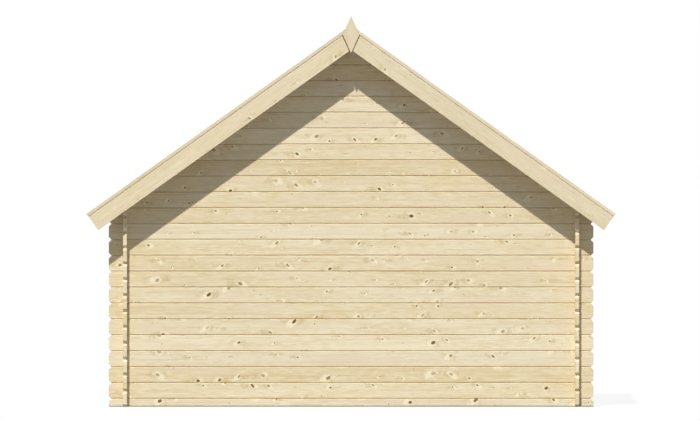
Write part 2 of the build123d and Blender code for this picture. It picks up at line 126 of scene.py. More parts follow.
class Grain(Enum):
    """Directions of the grain and of the thickness of a timber piece."""

    ACROSS = ((1.0, 0.0, 0.0), (0.0, 1.0, 0.0))
    DEEP = ((0.0, 1.0, 0.0), (-1.0, 0.0, 0.0))
    DEEP_FLAT = ((0.0, 1.0, 0.0), (0.0, 0.0, 1.0))
    UPRIGHT = ((0.0, 0.0, 1.0), (0.0, 1.0, 0.0))
    RIGHT_EDGE = ((SLOPE_COS, 0.0, -SLOPE_SIN), (0.0, 1.0, 0.0))
    LEFT_EDGE = ((SLOPE_COS, 0.0, SLOPE_SIN), (0.0, 1.0, 0.0))
    RIGHT_SLOPE = ((SLOPE_COS, 0.0, -SLOPE_SIN), (SLOPE_SIN, 0.0, SLOPE_COS))
    LEFT_SLOPE = ((SLOPE_COS, 0.0, SLOPE_SIN), (-SLOPE_SIN, 0.0, SLOPE_COS))

    def axes(self) -> tuple[Vector, Vector, Vector]:
        """Give the directions along the grain, through the thickness and from piece to piece."""
        along, through = (Vector(axis) for axis in self.value)
        return along, through, along.cross(through)

    def turn(self) -> Corner:
        """Give the Mapping rotation that lays the grain along X and the thickness along Y."""
        return tuple(Matrix(self.axes()).to_euler("XYZ"))


@dataclass(frozen=True)
class Layer:
    """One layer of noise: its scale along each axis, its octaves and its weight."""

    scale: Corner
    detail: float = 2.0
    weight: float = 1.0


@dataclass
class NodeBoard:
    """A node tree with short ways to add, set and join nodes."""

    tree: bpy.types.NodeTree

    @classmethod
    def blank(cls, owner: bpy.types.Material | bpy.types.World) -> "NodeBoard":
        """Clear the nodes of a material or world.

        Args:
            owner: Material or world.

        Returns:
            A board for its node tree.
        """
        owner.use_nodes = True
        owner.node_tree.nodes.clear()
        return cls(owner.node_tree)

    def add(self, kind: str, inputs: dict | None = None, **settings: object) -> bpy.types.Node:
        """Add one node.

        Args:
            kind: Type of the node without its ShaderNode prefix.
            inputs: Value or source of each input, by its name or number.
            settings: Properties of the node.

        Returns:
            The new node.
        """
        node = self.tree.nodes.new(kind if kind.startswith("NodeGroup") else "ShaderNode" + kind)
        for name, value in settings.items():
            setattr(node, name, value)
        for key, value in (inputs or {}).items():
            target = node.inputs[key]
            if isinstance(value, Socket):
                self.tree.links.new(value, target)
            else:
                target.default_value = (*value, 1.0) if target.type == "RGBA" else value
        return node

    def sum(self, operation: str, *terms: Number) -> Socket:
        """Work out a number by one operation of the Math node."""
        return self.add("Math", dict(enumerate(terms)), operation=operation).outputs[0]

    def times(self, first: Number, second: Number) -> Socket:
        """Multiply two numbers."""
        return self.sum("MULTIPLY", first, second)

    def line(self, value: Number, slope: Number, base: Number) -> Socket:
        """Multiply a number by a slope and add a base."""
        return self.sum("MULTIPLY_ADD", value, slope, base)

    def ease(self, value: Number, start: float, end: float) -> Socket:
        """Rise smoothly from 0 at start to 1 at end, which may lie on either side of it."""
        inputs = {"Value": value, "From Min": start, "From Max": end}
        return self.add("MapRange", inputs, interpolation_type="SMOOTHSTEP", clamp=True).outputs[0]

    def mix(self, share: Number, first: object, second: object, blend: str = "MIX") -> Socket:
        """Mix a share of a second colour into a first one."""
        inputs = {0: share, 6: first, 7: second}
        return self.add("Mix", inputs, data_type="RGBA", blend_type=blend, clamp_factor=True).outputs[2]

    def tint(self, colour: object, gain: object) -> Socket:
        """Multiply one colour by another."""
        return self.mix(1.0, colour, gain, "MULTIPLY")

    def split(self, vector: Socket) -> Outputs:
        """Split a vector into its three numbers."""
        return self.add("SeparateXYZ", {0: vector}).outputs

    def join(self, *numbers: Number) -> Socket:
        """Join three numbers into a vector."""
        return self.add("CombineXYZ", dict(enumerate(numbers))).outputs[0]

    def scaled(self, vector: Socket, scale: Corner, offset: object = ORIGIN) -> Socket:
        """Scale a vector along each axis, then add an offset."""
        inputs = {0: vector, 1: scale, 2: offset}
        return self.add("VectorMath", inputs, operation="MULTIPLY_ADD").outputs[0]

    def noise(self, vector: Socket, layer: Layer, offset: object = ORIGIN) -> Socket:
        """Give one layer of noise between 0 and 1, moved by an offset."""
        place = self.scaled(vector, layer.scale, offset)
        return self.add("TexNoise", {"Vector": place, "Scale": 1.0, "Detail": layer.detail}).outputs["Fac"]

    def chances(self, seed: Number) -> Outputs:
        """Give three steady random numbers for a seed."""
        return self.split(self.add("TexWhiteNoise", {"W": seed}, noise_dimensions="1D").outputs["Color"])

    def bump(self, height: Socket, strength: float, distance: float) -> Socket:
        """Turn a height into a normal."""
        inputs = {"Strength": strength, "Distance": distance, "Height": height}
        return self.add("Bump", inputs).outputs["Normal"]


@dataclass
class ShaderGroup(NodeBoard):
    """Shader node group with named inputs and outputs, which is drawn on first use."""

    name: ClassVar[str]
    inputs: ClassVar[dict[str, str]]
    outputs: ClassVar[dict[str, str]]

    @classmethod
    def made(cls) -> bpy.types.NodeTree:
        """Make the group on first use.

        Returns:
            The node group.
        """
        if cls.name not in bpy.data.node_groups:
            tree = bpy.data.node_groups.new(cls.name, "ShaderNodeTree")
            for way, sockets in (("INPUT", cls.inputs), ("OUTPUT", cls.outputs)):
                for socket, kind in sockets.items():
                    tree.interface.new_socket(socket, in_out=way, socket_type="NodeSocket" + kind)
            group = cls(tree)
            group.add("NodeGroupOutput", group.draw(group.add("NodeGroupInput").outputs))
        return bpy.data.node_groups[cls.name]

    def draw(self, given: Outputs) -> dict[str, Socket]:
        """Give the source of each output from what the group is given."""
        raise NotImplementedError


@dataclass
class CourseGroup(ShaderGroup):
    """Shader group that finds the log or board under a point, its own seed and its middle line."""

    name = "timber_course"
    inputs = {"Vector": "Vector", "Pitch": "Float", "Start": "Float", "Seed": "Float"}
    outputs = {"Vector": "Vector", "Seed": "Float"}
    seed_step: float = 1.37

    def draw(self, given: Outputs) -> dict[str, Socket]:
        """Measure a point from the middle line of its log or board.

        Args:
            given: Inputs of the group.

        Returns:
            Source of each output.
        """
        x, y, z = self.split(given["Vector"])
        rise = self.sum("SUBTRACT", z, given["Start"])
        index = self.sum("FLOOR", self.sum("DIVIDE", rise, given["Pitch"]))
        middle = self.times(self.sum("ADD", index, 0.5), given["Pitch"])
        return {
            "Vector": self.join(x, y, self.sum("SUBTRACT", rise, middle)),
            "Seed": self.line(index, self.seed_step, given["Seed"]),
        }


@dataclass(frozen=True)
class Oval:
    """Oval mask on a knot: squeeze along the grain, and reaches and offset in radii of the knot."""

    squeeze: float
    full: float
    gone: float
    aside: float = 0.0
    ragged: float = 0.0


@dataclass(frozen=True)
class KnotMasks:
    """Masks of the knots in a piece of timber, and the darkness of each knot."""

    core: Socket
    rim: Socket
    glow: Socket
    tail: Socket
    depth: Socket


@dataclass
class SpruceGroup(ShaderGroup):
    """Shader group of planed spruce: growth rings round a pith, fibres, knots and the tone of one piece.

    A pair of numbers is a slope and a base, or the start and end of a rise. A pair of radii is the
    smallest radius and the most that is added to it. The shift sets one piece apart from the next.
    """

    name = "planed_spruce"
    inputs = {
        "Vector": "Vector",
        **dict.fromkeys(("Seed", "Knots", "Contrast"), "Float"),
        **dict.fromkeys(("Pale", "Warm", "Late", "Halo", "Knot"), "Color"),
    }
    outputs = {"Color": "Color", "Roughness": "Float", "Height": "Float"}
    shift: Socket | None = None
    shift_reach: float = 40.0
    tone_seed: float = 57.3
    tone_warmth: Pair = (0.6, -1.85)
    tone_light: Pair = (0.05, 0.905)
    cloud: Layer = Layer((1.4, 8.0, 8.0), 2.0, 0.9)
    band: Layer = Layer((3.0, 24.0, 24.0), 3.0, 0.8)
    fleck: Layer = Layer((12.0, 60.0, 60.0), 4.0, 2.2)
    fibre: Layer = Layer((9.0, 420.0, 420.0), 3.0, 0.14)
    streak: Layer = Layer((0.9, 62.0, 62.0), 3.0, 0.8)
    streak_rise: Pair = (0.46, 0.74)
    patch: Layer = Layer((1.2, 7.0, 7.0), 5.0, 0.7)
    patch_shift: Corner = (7.3, 3.1, 5.7)
    blush: Colour = srgb(233, 213, 181)
    blush_rise: Pair = (0.48, 0.7)
    sway: Layer = Layer((0.7, 5.0, 5.0), 2.0, 0.03)
    ring: float = 4.2 * MM
    ring_bend: float = 1.6
    ring_rise: Pair = (0.55, 0.38)
    ring_share: Pair = (0.75, 0.15)
    late_rise: Pair = (0.35, 0.93)
    late_fall: Pair = (1.0, 0.94)
    pith_depth: Pair = (0.09, 0.012)
    pith_height: Pair = (0.12, -0.06)
    warp_scale: float = 75.0
    warp: Corner = (0.011, 0.0, 0.011)
    cell_stretch: float = 0.8
    cell_margin: float = 0.12
    branch_cells: float = 7.0
    branch_radii: Pair = (3.2 * MM, 13.0 * MM)
    pin_cells: float = 11.0
    pin_radii: Pair = (1.4 * MM, 3.0 * MM)
    pin_share: float = 0.3
    size_power: float = 1.9
    slant: Pair = (1.6, -0.8)
    blot: Layer = Layer((42.0, 42.0, 42.0))
    core: Oval = Oval(1.0, 0.8, 1.0)
    core_share: Pair = (0.4, 0.5)
    core_depth: Pair = (-1.1, 1.3)
    mottle: Layer = Layer((260.0, 260.0, 260.0), 3.0, 1.1)
    mottle_base: float = 0.45
    heart: Oval = Oval(1.0, 0.45, 0.95)
    rim_share: float = 0.65
    rim_gain: Colour = (0.46, 0.4, 0.25)
    # Pale patch to one side of each knot, where the rings also bend: partly lighter wood, partly a painted
    # highlight.
    glow: Oval = Oval(0.8, 0.9, 3.2, -0.8, 6.0)
    pale_and_highlight_share: float = 0.8
    pale_and_highlight_gain: Colour = (1.11, 1.11, 1.1)
    tail: Oval = Oval(0.35, 0.5, 3.0, 0.3, 6.0)
    tail_share: float = 0.6
    roughness: Pair = (0.18, 0.48)
    relief: float = 0.5
    rim_relief: float = 0.8

    def draw(self, given: Outputs) -> dict[str, Socket]:
        """Draw the figure of one piece.

        Args:
            given: Inputs of the group.

        Returns:
            Source of each output.
        """
        vector, share = given["Vector"], given["Knots"]
        pith = self.chances(given["Seed"])
        self.shift = self.join(*(self.times(chance, self.shift_reach) for chance in pith))
        branches = self.knots(vector, share, self.branch_cells, self.branch_radii)
        few = self.times(share, self.pin_share)
        pins = self.knots(vector, few, self.pin_cells, self.pin_radii)
        rings = self.rings(vector, pith, branches.glow)
        fibre = self.noise(vector, self.fibre, self.shift)
        clear = self.clear_wood(given, rings, fibre)
        relief = self.line(rings, self.relief, self.times(fibre, self.relief))
        return {
            "Color": self.knotty_wood(given, clear, branches, pins),
            "Roughness": self.line(fibre, *self.roughness),
            "Height": self.sum("SUBTRACT", relief, self.times(branches.rim, self.rim_relief)),
        }

    def clear_wood(self, given: Outputs, rings: Socket, fibre: Socket) -> Socket:
        """Colour the wood between the knots.

        Args:
            given: Inputs of the group.
            rings: Late wood.
            fibre: Fine fibres.

        Returns:
            The socket of the colour.
        """
        vector = given["Vector"]
        tone = self.chances(self.sum("ADD", given["Seed"], self.tone_seed))
        warmth = self.line(tone[0], *self.tone_warmth)
        for layer in (self.cloud, self.band, self.fleck):
            warmth = self.line(self.noise(vector, layer, self.shift), layer.weight, warmth)
        colour = self.mix(self.sum("MAXIMUM", warmth, 0.0), given["Pale"], given["Warm"])
        patch = self.noise(vector, self.patch, self.scaled(self.shift, WHITE, self.patch_shift))
        blushed = self.times(self.ease(patch, *self.blush_rise), self.patch.weight)
        colour = self.mix(blushed, colour, self.blush)
        shown = self.line(self.ease(patch, *self.ring_rise), *self.ring_share)
        streak = self.ease(self.noise(vector, self.streak, self.shift), *self.streak_rise)
        lines = self.line(rings, shown, self.times(streak, self.streak.weight))
        colour = self.mix(self.times(lines, given["Contrast"]), colour, given["Late"])
        light = self.line(fibre, self.fibre.weight, self.line(tone[1], *self.tone_light))
        return self.tint(colour, self.join(light, light, light))

    def knotty_wood(self, given: Outputs, clear: Socket, branches: KnotMasks, pins: KnotMasks) -> Socket:
        """Set the knots into the clear wood, each in a pale patch that is partly lighter wood and partly
        painted highlight, and with its warm tail.

        Args:
            given: Inputs of the group.
            clear: Colour of the clear wood.
            branches: Masks of the branch knots.
            pins: Masks of the pin knots.

        Returns:
            The socket of the colour.
        """
        colour = self.mix(self.times(branches.tail, self.tail_share), clear, given["Halo"])
        # Pale patch beside the knot, brighter than the pale wood: partly lighter wood, partly a painted
        # highlight.
        pale_and_highlight = self.tint(given["Pale"], self.pale_and_highlight_gain)
        colour = self.mix(self.times(branches.glow, self.pale_and_highlight_share), colour, pale_and_highlight)
        mottle = self.noise(given["Vector"], self.mottle)
        grey = self.line(mottle, self.mottle.weight, self.mottle_base)
        dark = self.tint(given["Knot"], self.join(grey, grey, grey))
        knot = self.mix(branches.depth, given["Halo"], dark)
        share = self.times(branches.core, self.line(branches.depth, *self.core_share))
        colour = self.mix(share, colour, knot)
        edge = self.sum("MAXIMUM", branches.rim, self.times(pins.core, pins.depth))
        bark = self.tint(given["Knot"], self.rim_gain)
        return self.mix(self.times(edge, self.rim_share), colour, bark)

    def knots(self, vector: Socket, share: Number, cells: float, radii: Pair) -> KnotMasks:
        """Scatter slanting oval knots over the face of the timber.

        Args:
            vector: Point in the timber, grain along X.
            share: Share of the cells that hold a knot.
            cells: Cells per metre.
            radii: Smallest radius and the most that is added to it, in metres.

        Returns:
            The masks of the knots.
        """
        warp = self.add("TexNoise", {"Vector": vector, "Scale": self.warp_scale}).outputs["Color"]
        x, _, z = self.split(self.scaled(warp, self.warp, vector))
        place = self.scaled(self.join(self.times(x, self.cell_stretch), z, 0.0), (cells,) * 3, self.shift)
        spread = {"Vector": place, "Scale": 1.0}
        spot = self.add("TexVoronoi", spread, voronoi_dimensions="2D", feature="F1").outputs
        away = self.add("VectorMath", {0: place, 1: spot["Position"]}, operation="SUBTRACT").outputs[0]
        along, up, _ = self.split(away)
        lot = self.split(spot["Color"])
        lean = self.line(along, self.line(lot[2], *self.slant), up)
        there = self.sum("LESS_THAN", lot[1], share)
        size = self.sum("POWER", lot[0], self.size_power)
        radius = self.line(size, radii[1] * cells, radii[0] * cells)
        side = self.times(radius, self.sum("SIGN", self.sum("SUBTRACT", lot[2], 0.5)))
        blot = self.sum("SUBTRACT", self.noise(vector, self.blot), 0.5)

        def within(oval: Oval, height: Socket) -> Socket:
            """Fall from 1 inside an oval to 0 outside a wider one.

            Args:
                oval: Shape of the mask.
                height: Distance from the middle of the knot across the grain.

            Returns:
                The socket of the mask.
            """
            reach = self.line(along, oval.squeeze, self.times(side, oval.aside))
            squared = self.line(reach, reach, self.times(height, height))
            far = self.sum("DIVIDE", self.sum("SQRT", squared), radius)
            far = self.line(blot, oval.ragged, far)
            return self.times(there, self.ease(far, oval.gone, oval.full))

        core = within(self.core, lean)
        depth = self.line(self.sum("DIVIDE", lot[1], share), *self.core_depth)
        rim = self.times(self.sum("SUBTRACT", core, within(self.heart, lean)), depth)
        border = self.add("TexVoronoi", spread, voronoi_dimensions="2D", feature="DISTANCE_TO_EDGE")
        inside = self.ease(border.outputs["Distance"], 0.0, self.cell_margin)
        glow = self.times(within(self.glow, lean), inside)
        return KnotMasks(core, rim, glow, self.times(within(self.tail, up), inside), depth)

    def rings(self, vector: Socket, pith: Outputs, glow: Socket) -> Socket:
        """Draw late wood as lines along the piece and as arcs on its ends.

        Args:
            vector: Point in the timber, grain along X.
            pith: Random numbers that place the pith.
            glow: Glow of the knots, round which the rings bend.

        Returns:
            The socket of the late wood.
        """
        _, y, z = self.split(vector)
        out_y = self.sum("SUBTRACT", y, self.line(pith[1], *self.pith_depth))
        out_z = self.sum("SUBTRACT", z, self.line(pith[2], *self.pith_height))
        squared = self.line(out_y, out_y, self.times(out_z, out_z))
        sway = self.noise(vector, self.sway, self.shift)
        reach = self.line(sway, self.sway.weight, self.sum("SQRT", squared))
        part = self.sum("FRACT", self.line(glow, self.ring_bend, self.sum("DIVIDE", reach, self.ring)))
        return self.times(self.ease(part, *self.late_rise), self.ease(part, *self.late_fall))


@dataclass(frozen=True)
class Finish:
    """Finish of one kind of surface, by one Principled shader."""

    name: str

    def sockets(self, board: NodeBoard, place: Socket) -> dict[str, object]:
        """Give the inputs of the shader for a place on the piece."""
        raise NotImplementedError

    @cache
    def material(self) -> bpy.types.Material:
        """Make the material, once for all pieces of this finish.

        Returns:
            The finished material.
        """
        made = bpy.data.materials.new(self.name)
        board = NodeBoard.blank(made)
        place = board.add("TexCoord").outputs["Object"]
        shader = board.add("BsdfPrincipled", self.sockets(board, place))
        board.add("OutputMaterial", {"Surface": shader.outputs["BSDF"]})
        return made

    def dress(self, form: Form) -> None:
        """Give a piece or a CAD node this finish alone.

        Args:
            form: Piece or CAD node.
        """
        form.data.materials.clear()
        form.data.materials.append(self.material())
        log.info("dressed %s", form.name)


@dataclass(frozen=True)
class SpruceFinish(Finish):
    """Bare planed spruce, laid along one grain direction in courses or as one piece."""

    grain: Grain
    seed: float
    pitch: float = WHOLE_PIECE
    start: float = -WHOLE_PIECE / 2
    plane: float = 0.0
    knots: float = 0.68
    contrast: float = 0.3
    end_contrast: float = -0.6
    end_rise: Pair = (0.5, 0.9)
    bump: float = 0.35
    relief: float = 0.4 * MM
    specular: float = 0.25
    pale: Colour = srgb(240, 228, 196)
    warm: Colour = srgb(227, 207, 160)
    late: Colour = srgb(200, 172, 126)
    halo: Colour = srgb(203, 181, 127)
    knot: Colour = srgb(122, 97, 38)

    def sockets(self, board: NodeBoard, place: Socket) -> dict[str, object]:
        """Lay courses of spruce along the grain.

        Args:
            board: Board of the material.
            place: Place on the piece.

        Returns:
            Value or source of each input of the shader.
        """
        inputs = {"Vector": place, "Rotation": self.grain.turn(), "Location": (0.0, -self.plane, 0.0)}
        turned = board.add("Mapping", inputs, vector_type="POINT").outputs["Vector"]
        inputs = {"Vector": turned, "Pitch": self.pitch, "Start": self.start, "Seed": self.seed}
        course = board.add("Group", inputs, node_tree=CourseGroup.made()).outputs
        inputs = {name: course[name] for name in ("Vector", "Seed")}
        inputs |= {"Knots": self.knots, "Contrast": self.softened(board)}
        for name in ("Pale", "Warm", "Late", "Halo", "Knot"):
            inputs[name] = getattr(self, name.lower())
        timber = board.add("Group", inputs, node_tree=SpruceGroup.made()).outputs
        return {
            "Base Color": timber["Color"],
            "Roughness": timber["Roughness"],
            "Specular IOR Level": self.specular,
            "Normal": board.bump(timber["Height"], self.bump, self.relief),
        }

    def softened(self, board: NodeBoard) -> Socket:
        """Soften the lines of the figure on end grain.

        Args:
            board: Board of the material.

        Returns:
            The socket of the contrast.
        """
        inputs = {0: board.add("NewGeometry").outputs["Normal"], 1: self.grain.value[0]}
        facing = board.add("VectorMath", inputs, operation="DOT_PRODUCT").outputs["Value"]
        end = board.ease(board.sum("ABSOLUTE", facing), *self.end_rise)
        return board.line(end, self.end_contrast * self.contrast, self.contrast)


@dataclass(frozen=True)
class GlassFinish(Finish):
    """Clear window glass with faint smears."""

    name: str = "clear_window_glass"
    tint: Colour = (0.93, 0.97, 0.96)
    refraction: float = 1.45
    smear: Layer = Layer((6.0, 6.0, 2.5), 3.0, 0.02)
    smear_rise: Pair = (0.5, 0.9)

    def sockets(self, board: NodeBoard, place: Socket) -> dict[str, object]:
        """Let light through, with faint smears in the polish.

        Args:
            board: Board of the material.
            place: Place on the piece.

        Returns:
            Value or source of each input of the shader.
        """
        smear = board.ease(board.noise(place, self.smear), *self.smear_rise)
        return {
            "Base Color": self.tint,
            "Roughness": board.times(smear, self.smear.weight),
            "Transmission Weight": 1.0,
            "IOR": self.refraction,
        }


@dataclass(frozen=True)
class MetalFinish(Finish):
    """Satin steel with fine brush lines along one axis."""

    brush: Corner
    colour: Colour = (0.4, 0.39, 0.37)
    dullness: float = 0.82
    patch: Layer = Layer((30.0, 30.0, 30.0))
    octaves: float = 3.0
    roughness: Pair = (0.25, 0.22)
    bump: float = 0.12
    relief: float = 0.1 * MM

    def sockets(self, board: NodeBoard, place: Socket) -> dict[str, object]:
        """Brush the steel, and dull it in patches.

        Args:
            board: Board of the material.
            place: Place on the piece.

        Returns:
            Value or source of each input of the shader.
        """
        lines = board.noise(place, Layer(self.brush, self.octaves))
        dull = tuple(self.dullness * value for value in self.colour)
        return {
            "Base Color": board.mix(board.noise(place, self.patch), self.colour, dull),
            "Roughness": board.line(lines, *self.roughness),
            "Metallic": 1.0,
            "Normal": board.bump(lines, self.bump, self.relief),
        }


def clear_bench() -> None:
    """Leave edit mode and deselect everything."""
    if bpy.context.object and bpy.context.object.mode != "OBJECT":
        bpy.ops.object.mode_set(mode="OBJECT")
    bpy.ops.object.select_all(action="DESELECT")


def runs(axis: int, start: Vector, end: Vector) -> bool:
    """Say whether an edge runs along an axis."""
    return abs(end[axis] - start[axis]) > LEVEL * (end - start).length


@dataclass
class Piece:
    """One piece on the bench, with primitives, edit-mode operators and modifiers as its tools."""

    form: Form

    @classmethod
    def active(cls, name: str) -> "Piece":
        """Take up the active object, and put its place into its mesh.

        Args:
            name: Its new name.

        Returns:
            The piece, at the origin, unturned and unscaled.
        """
        form = bpy.context.object
        form.name = name
        form.data.name = name
        bpy.ops.object.transform_apply(location=True, rotation=True, scale=True)
        return cls(form)

    @classmethod
    def block(cls, name: str, low: Corner, high: Corner) -> "Piece":
        """Add a cube between two corners.

        Args:
            name: Name of the piece.
            low: Lowest corner in metres.
            high: Highest corner in metres.

        Returns:
            The new piece.
        """
        clear_bench()
        bpy.ops.mesh.primitive_cube_add(size=1.0, location=(Vector(low) + Vector(high)) / 2)
        bpy.ops.transform.resize(value=Vector(high) - Vector(low))
        return cls.active(name)

    @classmethod
    def strip(cls, rectangle: Rectangle, back: float, face: float) -> "Piece":
        """Saw a strip that fills a left, bottom, right and top from its back to its face along Y."""
        left, bottom, right, top = rectangle
        return cls.block("strip", (left, back, bottom), (right, face, top))

    @classmethod
    def disc(cls, name: str, radius: float, height: float, sides: int) -> "Piece":
        """Add a round blank that stands on the origin.

        Args:
            name: Name of the piece.
            radius: Radius in metres.
            height: Height in metres.
            sides: Number of facets round it.

        Returns:
            The new piece.
        """
        clear_bench()
        middle = (0.0, 0.0, height / 2)
        bpy.ops.mesh.primitive_cylinder_add(vertices=sides, radius=radius, depth=height, location=middle)
        return cls.active(name)

    @classmethod
    def stud(cls, name: str, radius: float, height: float, sides: int, rounding: float) -> "Piece":
        """Add a round blank with a bevelled top edge.

        Args:
            name: Name of the piece.
            radius: Radius in metres.
            height: Height in metres.
            sides: Number of facets round it.
            rounding: Width of the bevel in metres.

        Returns:
            The new piece, standing on the origin.
        """
        piece = cls.disc(name, radius, height, sides)
        piece.bevel(rounding, lambda a, b: min(a.z, b.z) > height - PICK_SLACK)
        return piece

    @classmethod
    def planed(cls, node: Form, width: float) -> "Piece":
        """Make a piece with eased edges after a CAD node.

        Args:
            node: CAD node that is followed.
            width: Width of the eased edges in metres.

        Returns:
            The new piece.
        """
        piece = cls(bpy.data.objects.new("planed_" + node.name, node.data.copy()))
        bpy.context.scene.collection.objects.link(piece.form)
        piece.hold()
        bpy.ops.mesh.customdata_custom_splitnormals_clear()
        piece.open()
        bpy.ops.mesh.remove_doubles(threshold=MERGED)
        bpy.ops.mesh.dissolve_limited(angle_limit=FLAT_EDGE)
        bpy.ops.mesh.normals_make_consistent(inside=False)
        bpy.ops.object.mode_set(mode="OBJECT")
        piece.ease(width)
        return piece

    @classmethod
    def join(cls, pieces: list["Piece"], name: str) -> "Piece":
        """Join pieces into one.

        Args:
            pieces: Pieces of one kind.
            name: Name of the joined piece.

        Returns:
            The joined piece.
        """
        pieces[0].hold()
        for piece in pieces:
            piece.form.select_set(True)
        bpy.ops.object.join()
        return cls.active(name)

    def hold(self) -> None:
        """Select the piece alone and make it the active one."""
        clear_bench()
        self.form.select_set(True)
        bpy.context.view_layer.objects.active = self.form

    def open(self) -> None:
        """Enter edit mode with the whole mesh selected."""
        self.hold()
        bpy.ops.object.mode_set(mode="EDIT")
        bpy.ops.mesh.select_all(action="SELECT")

    def pick(self, kind: Pick, test: Callable[[object], bool]) -> None:
        """Enter edit mode with some of the mesh selected.

        Args:
            kind: Kind of mesh element.
            test: Says for one element whether it is selected.
        """
        self.open()
        bpy.ops.mesh.select_mode(type=kind.name)
        bpy.ops.mesh.select_all(action="DESELECT")
        bpy.ops.object.mode_set(mode="OBJECT")
        for element in getattr(self.form.data, kind.value):
            element.select = test(element)
        bpy.ops.object.mode_set(mode="EDIT")

    def bevel(self, width: float, test: EdgeTest, steps: int = 1) -> None:
        """Bevel the edges that a test selects.

        Args:
            width: Width of the bevel in metres.
            test: Says for the two ends of an edge whether it is bevelled.
            steps: Number of facets.
        """
        spots = self.form.data.vertices
        self.pick(Pick.EDGE, lambda edge: test(*(spots[index].co for index in edge.vertices)))
        bpy.ops.mesh.bevel(offset=width, segments=steps, affect="EDGES")
        bpy.ops.object.mode_set(mode="OBJECT")

    def recess(self, rim: float, depth: float, shape: Corner = (1.0, 1.0, 1.0)) -> None:
        """Sink a recess into the top of the piece.

        Args:
            rim: Width of the rim that stays, in metres.
            depth: Depth of the recess in metres.
            shape: Scale of the recess along each axis.
        """
        self.pick(Pick.FACE, lambda face: face.normal.z > LEVEL)
        bpy.ops.mesh.inset(thickness=rim)
        bpy.ops.transform.resize(value=shape)
        bpy.ops.mesh.extrude_region_move(TRANSFORM_OT_translate={"value": (0.0, 0.0, -depth)})
        bpy.ops.object.mode_set(mode="OBJECT")

    def cut(self, point: Corner, normal: Corner) -> None:
        """Cut the piece by a plane and close the cut.

        Args:
            point: A point on the plane.
            normal: Direction of the side that is removed.
        """
        self.open()
        bpy.ops.mesh.bisect(plane_co=point, plane_no=normal, use_fill=True, clear_outer=True)
        bpy.ops.object.mode_set(mode="OBJECT")

    def modify(self, kind: str, **settings: object) -> None:
        """Give the piece a modifier and apply it.

        Args:
            kind: Type of the modifier.
            settings: Properties of the modifier.
        """
        self.hold()
        modifier = self.form.modifiers.new(kind.lower(), kind)
        for name, value in settings.items():
            setattr(modifier, name, value)
        bpy.ops.object.modifier_apply(modifier=modifier.name)

    def ease(self, width: float, steps: int = 2) -> None:
        """Round all sharp edges of the piece by a bevel of some facets."""
        sharp = {"limit_method": "ANGLE", "angle_limit": SHARP_EDGE}
        self.modify("BEVEL", width=width, segments=steps, **sharp)

    def row(self, count: int, step: Corner) -> None:
        """Repeat the piece in a row within its own mesh, each copy a step from the last."""
        spaced = {"use_relative_offset": False, "use_constant_offset": True}
        self.modify("ARRAY", count=count, constant_offset_displace=step, **spaced)

    def carve(self, low: Vector, high: Vector, room: float) -> None:
        """Cut the room of a box out of the piece.

        Args:
            low: Lowest corner of the box.
            high: Highest corner of the box.
            room: Clearance round the box in metres.
        """
        clearance = Vector((room, room, room))
        tool = Piece.block("carving_block", tuple(low - clearance), tuple(high + clearance)).form
        self.modify("BOOLEAN", operation="DIFFERENCE", object=tool)
        bpy.data.objects.remove(tool)

    def place(self, matrix: Matrix) -> None:
        """Turn and move the piece, and keep its place in its mesh.

        Args:
            matrix: Turn and move in the frame.
        """
        self.hold()
        self.form.matrix_world = matrix
        Piece.active(self.form.name)

    def copy(self, name: str, matrix: Matrix) -> "Piece":
        """Copy the piece with its own mesh to another place.

        Args:
            name: Name of the copy.
            matrix: Turn and move of the copy.

        Returns:
            The copy.
        """
        self.hold()
        bpy.ops.object.duplicate(linked=False)
        bpy.context.object.matrix_world = matrix
        return Piece.active(name)

    def spread(self, places: list[Matrix], name: str) -> "Piece":
        """Copy the piece to many places, join the copies and drop the pattern.

        Args:
            places: Turn and move of each copy.
            name: Name of the joined piece.

        Returns:
            The joined piece.
        """
        copies = [self.copy(name, place) for place in places]
        bpy.data.objects.remove(self.form)
        return Piece.join(copies, name)

    def hand_over(self, finish: Finish, slot: str, *replaced: str) -> None:
        """Dress the finished piece, let it ride on the object and hide the CAD nodes that it stands for.

        Args:
            finish: Its finish.
            slot: Not used.
            replaced: CAD nodes that the piece stands for.
        """
        finish.dress(self.form)
        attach(self.form, BODY)
        if replaced:
            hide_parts(*replaced)


@dataclass(frozen=True)
class Fixings:
    """Nails of the boards and trim, and screws of the fittings."""

    length: float = 2.0 * MM
    proud: float = 0.7 * MM
    nail_radius: float = 2.6 * MM
    nail_sides: int = 8
    nail_round: float = 0.6 * MM
    screw_radius: float = 3.4 * MM
    screw_sides: int = 12
    screw_round: float = 0.5 * MM
    drive_rim: float = 1.4 * MM
    drive_depth: float = 0.9 * MM

    def nail(self) -> Piece:
        """Make one small domed nail head, standing on the origin."""
        return Piece.stud("nail_head", self.nail_radius, self.length, self.nail_sides, self.nail_round)

    def screw(self) -> Piece:
        """Make one screw head with a recess for the driver.

        Returns:
            The head, standing on the origin.
        """
        sizes = (self.screw_radius, self.length, self.screw_sides, self.screw_round)
        head = Piece.stud("screw_head", *sizes)
        head.recess(self.drive_rim, self.drive_depth)
        return head

    def facing(self, point: Corner, course: Corner) -> Matrix:
        """Turn a head outward at a point of a face.

        Args:
            point: Point on the face.
            course: Outward direction of the face.

        Returns:
            Turn and move of the head.
        """
        out = Vector(course)
        foot = Vector(point) - out * (self.length - self.proud)
        return Matrix.Translation(foot) @ out.to_track_quat("Z", "Y").to_matrix().to_4x4()


